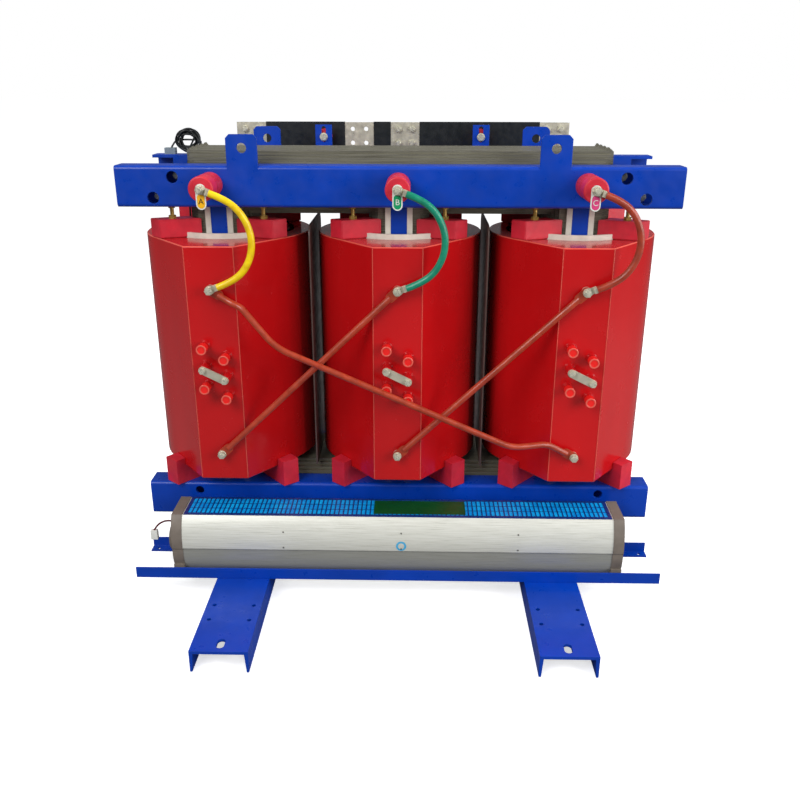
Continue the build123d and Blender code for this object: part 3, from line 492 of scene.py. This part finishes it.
# Top pressing blocks: each runs slantwise from the winding's rim to the front of the limb.
block_low, block_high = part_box("top_blocks")
BLOCK_LIFT = 0.0003
BLOCK_BEVEL = 0.0016
# the front left block's corners, from its phase's axis; the other three mirror it
BLOCK_FOOTPRINT = [
    (-0.143, -0.170),
    (-0.044, -0.1315),
    (-0.060, -0.1275),
    (-0.083, -0.096),
    (-0.176, -0.136),
]


def build_top_blocks(bm):
    heights = (block_low[2] + BLOCK_LIFT, block_high[2])
    for phase_x in PHASE_X.values():
        for sx in (1, -1):
            for sy in (1, -1):
                add_prism(bm, [(phase_x + sx * x, sy * y) for x, y in BLOCK_FOOTPRINT], heights)
    bmesh.ops.recalc_face_normals(bm, faces=bm.faces)
    bmesh.ops.bevel(bm, geom=list(bm.edges), offset=BLOCK_BEVEL, segments=2, affect="EDGES")


blocks = mesh_piece("slanted_top_blocks", build_top_blocks, PINK_RED)
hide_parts("top_blocks")

# Gap boards: curved strips that stand only a little above the windings.
board_low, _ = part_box("gap_boards")
BOARD_RADII = (0.160, 0.167)
BOARD_SPREAD = math.radians(30)
BOARD_RISE = 0.0125
BOARD_STEPS = 24


def build_boards(bm):
    heights = (board_low[2], coil_high[2] + BOARD_RISE)
    for phase_x in PHASE_X.values():
        for sy in (-1, 1):
            outline = []
            for radius, order in ((BOARD_RADII[0], 1), (BOARD_RADII[1], -1)):
                for k in range(BOARD_STEPS + 1)[::order]:
                    angle = -BOARD_SPREAD + 2 * BOARD_SPREAD * k / BOARD_STEPS
                    outline.append((phase_x + radius * math.sin(angle), sy * radius * math.cos(angle)))
            add_prism(bm, outline, heights)


boards = mesh_piece("gap_strips", build_boards, BOARD_WHITE)
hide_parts("gap_boards")

# Phase tags: an enamel field inside each plate's rim, and the phase's letter.
tag_low, tag_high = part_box("phase_tags")
TAG_WIDTH = 0.024
TAG_RIM = 0.003
TAG_FIELD_HEIGHT = 0.034
TAG_FIELD_THICK = 0.0004
TAG_LETTER_STEP = 0.0007
TAG_LETTER_RISE = 0.019
TAG_LETTER_SIZE = 0.019
tag_places = (tag_low[0] + TAG_WIDTH / 2, (tag_low[0] + tag_high[0]) / 2, tag_high[0] - TAG_WIDTH / 2)
tag_fields = (TAG_YELLOW, TAG_GREEN, TAG_PINK)
tag_inks = (INK, TAG_WHITE, TAG_WHITE)
for name, x, field, ink in zip("ABC", tag_places, tag_fields, tag_inks):
    place = (x, tag_low[1], tag_low[2] + TAG_RIM + TAG_FIELD_HEIGHT / 2)
    mesh_piece(
        f"tag_field_{name.lower()}",
        lambda bm: add_plate(bm, stadium(TAG_WIDTH - 2 * TAG_RIM, TAG_FIELD_HEIGHT), place, TAG_FIELD_THICK),
        field,
    )
    spot = (x, tag_low[1] - TAG_LETTER_STEP, tag_low[2] + TAG_LETTER_RISE)
    letter(f"tag_letter_{name.lower()}", name, TAG_LETTER_SIZE, spot, ink)


# ---------------------------------------------------------------- fan dress
grille_low, grille_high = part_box("fan_grille")
GRILLE_RIM = 0.008
FILM_LEVELS = (0.0008, 0.0018)  # from the grille's underside


def build_film(bm):
    low = (grille_low[0] + GRILLE_RIM, grille_low[1] + GRILLE_RIM, grille_low[2] + FILM_LEVELS[0])
    high = (grille_high[0] - GRILLE_RIM, grille_high[1] - GRILLE_RIM, grille_low[2] + FILM_LEVELS[1])
    add_box(bm, low, high)


mesh_piece("fan_film", build_film, FILM)

LABEL_X = (-0.062, 0.182)
LABEL_INSET = 0.012
LABEL_SINK, LABEL_RISE = 0.0002, 0.0005


def build_label(bm):
    low = (LABEL_X[0], grille_low[1] + LABEL_INSET, grille_high[2] - LABEL_SINK)
    high = (LABEL_X[1], grille_high[1] - LABEL_INSET, grille_high[2] + LABEL_RISE)
    add_box(bm, low, high)


mesh_piece("fan_label", build_label, LABEL_GREEN)

CROWN = [(-0.338, 0.228), (-0.356, 0.190), (-0.362, 0.140)]  # Y and Z of three points of the crowned front
STICKER_MIDDLE = Vector((0.012, 0.0, 0.155))  # its Y comes from front_of_fan
STICKER_RADII = (0.0085, 0.0135)
STICKER_STEPS = 40
STICKER_STEP_OUT = 0.0004
SCREW_X = (0.012, 0.32, -0.3)
SCREW_Z = (0.19, 0.147)
SCREW_SINK = 0.0002
SCREW_RADIUS = 0.0022
SCREW_THICK = 0.0012
SCREW_SIDES = 14


def front_of_fan(z):
    """Y of the housing's crowned front at that height, by the arc through its three points."""
    (x1, y1), (x2, y2), (x3, y3) = CROWN
    d = 2 * (x1 * (y2 - y3) + x2 * (y3 - y1) + x3 * (y1 - y2))
    ux = ((x1**2 + y1**2) * (y2 - y3) + (x2**2 + y2**2) * (y3 - y1) + (x3**2 + y3**2) * (y1 - y2)) / d
    uy = ((x1**2 + y1**2) * (x3 - x2) + (x2**2 + y2**2) * (x1 - x3) + (x3**2 + y3**2) * (x2 - x1)) / d
    radius = math.hypot(x1 - ux, y1 - uy)
    return ux - math.sqrt(max(0.0, radius**2 - (z - uy) ** 2))


def build_sticker(bm):
    """Plain ring sticker on the crown of the housing."""
    rings = []
    for radius in STICKER_RADII:
        ring = []
        for k in range(STICKER_STEPS):
            angle = 2 * math.pi * k / STICKER_STEPS
            z = STICKER_MIDDLE.z + radius * math.sin(angle)
            x = STICKER_MIDDLE.x + radius * math.cos(angle)
            ring.append(bm.verts.new((x, front_of_fan(z) - STICKER_STEP_OUT, z)))
        rings.append(ring)
    for k in range(STICKER_STEPS):
        n = (k + 1) % STICKER_STEPS
        bm.faces.new((rings[0][k], rings[0][n], rings[1][n], rings[1][k]))


mesh_piece("fan_sticker", build_sticker, STICKER_BLUE)


def build_screws(bm):
    """Small screws in two rows on the crown."""
    for x in SCREW_X:
        for z in SCREW_Z:
            add_disc_y(bm, (x, front_of_fan(z) + SCREW_SINK, z), SCREW_RADIUS, SCREW_THICK, SCREW_SIDES)


mesh_piece("fan_screws", build_screws, SCREW)


# ---------------------------------------------------------------- cords
def cord_curve(name, points, diameter, finish):
    curve = bpy.data.curves.new(name, "CURVE")
    curve.dimensions = "3D"
    curve.bevel_depth = 1.0  # scaled by each point's radius, which also keeps the curve's bounds tight
    curve.bevel_resolution = 6
    curve.use_fill_caps = True
    curve.resolution_u = 12
    spline = curve.splines.new("NURBS")
    spline.points.add(len(points) - 1)
    for point, place in zip(spline.points, points):
        point.co = (*place, 1.0)
        point.radius = diameter / 2
    spline.order_u = 3
    spline.use_endpoint_u = True
    made = bpy.data.objects.new(name, curve)
    bpy.context.collection.objects.link(made)
    curve.materials.append(finish.material)
    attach(made, BODY)
    return made


def length_of(cord):
    """Length of the cord's spline, measured on a copy with no bevel."""
    depth = cord.data.bevel_depth
    cord.data.bevel_depth = 0
    bpy.context.view_layer.update()
    line = bpy.data.meshes.new_from_object(cord.evaluated_get(bpy.context.evaluated_depsgraph_get()))
    cord.data.bevel_depth = depth
    points = [v.co.copy() for v in line.vertices]
    bpy.data.meshes.remove(line)
    return sum((b - a).length for a, b in zip(points, points[1:]))


JUMPER = [  # from the phase's axis
    (0.0207, -0.310, 1.0595),
    (0.060, -0.309, 1.045),
    (0.094, -0.307, 1.014),
    (0.114, -0.305, 0.968),
    (0.113, -0.303, 0.919),
    (0.093, -0.301, 0.876),
    (0.060, -0.299, 0.848),
    (0.0223, -0.298, 0.833),
]
for phase, finish, slot in (
    ("a", YELLOW, "yellow_sleeve"),
    ("b", GREEN, "green_sleeve"),
    ("c", BROWN, "brown_sleeve"),
):
    route = [(PHASE_X[phase] + dx, y, z) for dx, y, z in JUMPER]
    cable = cord_curve(f"jumper_{phase}", route, 0.017, finish)
    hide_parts(f"jumper_cable_{phase}")
    length_of(cable)

FAN_LEAD = [
    (-0.598, -0.322, 0.200),
    (-0.612, -0.323, 0.203),
    (-0.628, -0.325, 0.200),
    (-0.643, -0.327, 0.190),
    (-0.652, -0.328, 0.176),
]
lead = cord_curve("fan_lead_wires", FAN_LEAD, 0.005, LEAD)
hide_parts("fan_lead")
length_of(lead)

# Sensor cable: up from the left winding, then a tied hank on the rear clamp.
SENSOR_TAIL = [
    (-0.590, 0.076, 0.929),
    (-0.588, 0.074, 0.972),
    (-0.591, 0.078, 1.024),
    (-0.587, 0.076, 1.074),
    (-0.584, 0.090, 1.114),
    (-0.585, 0.117, 1.134),
]
HANK_MIDDLE = Vector((-0.600, 0.163, 1.148))
HANK_RING = 0.025
TURN_PITCH = 0.0066
TURN_POINTS = 14
LAYERS = 3
HANK_START = 0.15 * math.pi
HANK_WOBBLE = 0.0020  # how far the turns stray from round
HANK_DRIFT = 0.0016  # how far they stray along the hank's axis
HANK_SWELL = 1.1  # wider along X than it is high
HANK_EXIT = [(-0.634, 0.170, 1.150), (-0.645, 0.166, 1.138), (-0.650, 0.163, 1.128)]


def hank_turns():
    """Eight turns that drift through nine places, in three layers of three."""
    places = []
    for layer in range(LAYERS):
        row = [-1, 0, 1] if layer % 2 == 0 else [1, 0, -1]
        places += [(row[k] * TURN_PITCH, (layer - 1) * TURN_PITCH) for k in range(3)]
    points = []
    for turn in range(len(places) - 1):
        (y0, r0), (y1, r1) = places[turn], places[turn + 1]
        for k in range(TURN_POINTS):
            t = k / TURN_POINTS
            angle = HANK_START + 2 * math.pi * t
            radius = HANK_RING + r0 + (r1 - r0) * t + HANK_WOBBLE * math.sin(3 * angle + 1.7 * (turn + t))
            drift = HANK_DRIFT * math.sin(2 * angle + 2.3 * (turn + t))
            points.append(
                (
                    HANK_MIDDLE.x + HANK_SWELL * radius * math.cos(angle),
                    HANK_MIDDLE.y + y0 + (y1 - y0) * t + drift,
                    HANK_MIDDLE.z + radius * math.sin(angle),
                )
            )
    return points


sensor_route = SENSOR_TAIL + hank_turns() + HANK_EXIT
sensor = cord_curve("sensor_cable", sensor_route, 0.005, BLACK)
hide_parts("sensor_cable_tail", "sensor_cable_hank")
length_of(sensor)


# ---------------------------------------------------------------- studio
def area_light(name, place, target, size, power, mirrored_too=True):
    data = bpy.data.lights.new(name, "AREA")
    data.shape = "RECTANGLE"
    data.size, data.size_y = size
    data.energy = power
    made = bpy.data.objects.new(name, data)
    bpy.context.collection.objects.link(made)
    made.location = place
    aim = Vector(target) - Vector(place)
    made.rotation_euler = aim.to_track_quat("-Z", "Y").to_euler()
    made.visible_glossy = mirrored_too


area_light("key", (-2.2, -3.4, 3.4), (0, 0, 0.6), (2.6, 2.6), 125)
area_light("fill", (3.4, -2.6, 2.0), (0, 0, 0.5), (2.2, 2.8), 95)
area_light("side", (3.0, -0.4, 1.3), (0.5, -0.1, 0.6), (1.0, 2.0), 26)
area_light("top", (0.2, 0.6, 4.0), (0, 0, 0.5), (3.0, 2.4), 60, mirrored_too=False)
area_light("rear", (0.5, 4.0, 2.6), (0, 0, 0.6), (3.0, 2.0), 60, mirrored_too=False)

BACKDROP = 1.0
WORLD_TINT = (0.95, 0.97, 1.0, 1)
world = bpy.data.worlds.new("studio")
bpy.context.scene.world = world
world.use_nodes = True
tree = world.node_tree
background = tree.nodes["Background"]
background.inputs["Color"].default_value = WORLD_TINT
background.inputs["Strength"].default_value = 0.46
mirrored = tree.nodes.new("ShaderNodeBackground")
mirrored.inputs["Color"].default_value = WORLD_TINT
mirrored.inputs["Strength"].default_value = 0.16
seen = tree.nodes.new("ShaderNodeBackground")
seen.inputs["Color"].default_value = (BACKDROP, BACKDROP, BACKDROP, 1)
seen.inputs["Strength"].default_value = 1.0
path = tree.nodes.new("ShaderNodeLightPath")
glossy = tree.nodes.new("ShaderNodeMixShader")
tree.links.new(path.outputs["Is Glossy Ray"], glossy.inputs["Fac"])
tree.links.new(background.outputs["Background"], glossy.inputs[1])
tree.links.new(mirrored.outputs["Background"], glossy.inputs[2])
mix = tree.nodes.new("ShaderNodeMixShader")
tree.links.new(path.outputs["Is Camera Ray"], mix.inputs["Fac"])
tree.links.new(glossy.outputs["Shader"], mix.inputs[1])
tree.links.new(seen.outputs["Background"], mix.inputs[2])
tree.links.new(mix.outputs["Shader"], tree.nodes["World Output"].inputs["Surface"])

floor_mesh = bpy.data.meshes.new("floor")
FLOOR_REACH = 60.0
floor_corners = [(sx * FLOOR_REACH, sy * FLOOR_REACH, 0) for sx, sy in ((-1, -1), (1, -1), (1, 1), (-1, 1))]
floor_mesh.from_pydata(floor_corners, [], [(0, 1, 2, 3)])
floor = bpy.data.objects.new("floor", floor_mesh)
bpy.context.collection.objects.link(floor)
floor_shader = Shader("studio_floor", (0.9, 0.9, 0.9, 1), 0.9, specular=0.1)
glow = floor_shader.node("ShaderNodeEmission", Color=(1, 1, 1, 1), Strength=0.62)
lit = floor_shader.tree.nodes.new("ShaderNodeAddShader")
dull = floor_shader.node("ShaderNodeBsdfDiffuse", Color=(0.16, 0.16, 0.16, 1))
seen_only = floor_shader.tree.nodes.new("ShaderNodeMixShader")
light_path = floor_shader.tree.nodes.new("ShaderNodeLightPath")
floor_shader.link(floor_shader.bsdf.outputs["BSDF"], lit.inputs[0])
floor_shader.link(glow.outputs["Emission"], lit.inputs[1])
floor_shader.link(light_path.outputs["Is Camera Ray"], seen_only.inputs["Fac"])
floor_shader.link(dull.outputs["BSDF"], seen_only.inputs[1])
floor_shader.link(lit.outputs["Shader"], seen_only.inputs[2])
floor_shader.link(seen_only.outputs["Shader"], floor_shader.tree.nodes["Material Output"].inputs["Surface"])
floor_mesh.materials.append(floor_shader.material)

# ---------------------------------------------------------------- camera
IMAGE_SIDE = 800
FOCAL = 847.2  # pixels
CAMERA_PLACE = (0.0439, -2.3200, 1.3063)
PITCH, YAW, ROLL = math.radians(20.696), math.radians(1.2115), math.radians(0.077)
OPTICAL_CENTRE = (397.7, 400.6)
SENSOR = 36.0  # millimetres

forward = Vector((-math.sin(YAW) * math.cos(PITCH), math.cos(YAW) * math.cos(PITCH), -math.sin(PITCH)))
level = Vector((math.cos(YAW), math.sin(YAW), 0))
upright = level.cross(forward)
right = math.cos(ROLL) * level + math.sin(ROLL) * upright
up = -math.sin(ROLL) * level + math.cos(ROLL) * upright
camera_data = bpy.data.cameras.new("camera")
camera_data.sensor_width = SENSOR
camera_data.lens = FOCAL / IMAGE_SIDE * SENSOR
camera_data.shift_x = (IMAGE_SIDE / 2 - OPTICAL_CENTRE[0]) / IMAGE_SIDE
camera_data.shift_y = (OPTICAL_CENTRE[1] - IMAGE_SIDE / 2) / IMAGE_SIDE
camera = bpy.data.objects.new("camera", camera_data)
bpy.context.collection.objects.link(camera)
turn = Matrix((right, up, -forward)).transposed().to_4x4()
camera.matrix_world = Matrix.Translation(Vector(CAMERA_PLACE)) @ turn
bpy.context.scene.camera = camera
bpy.context.scene.view_settings.view_transform = "Standard"
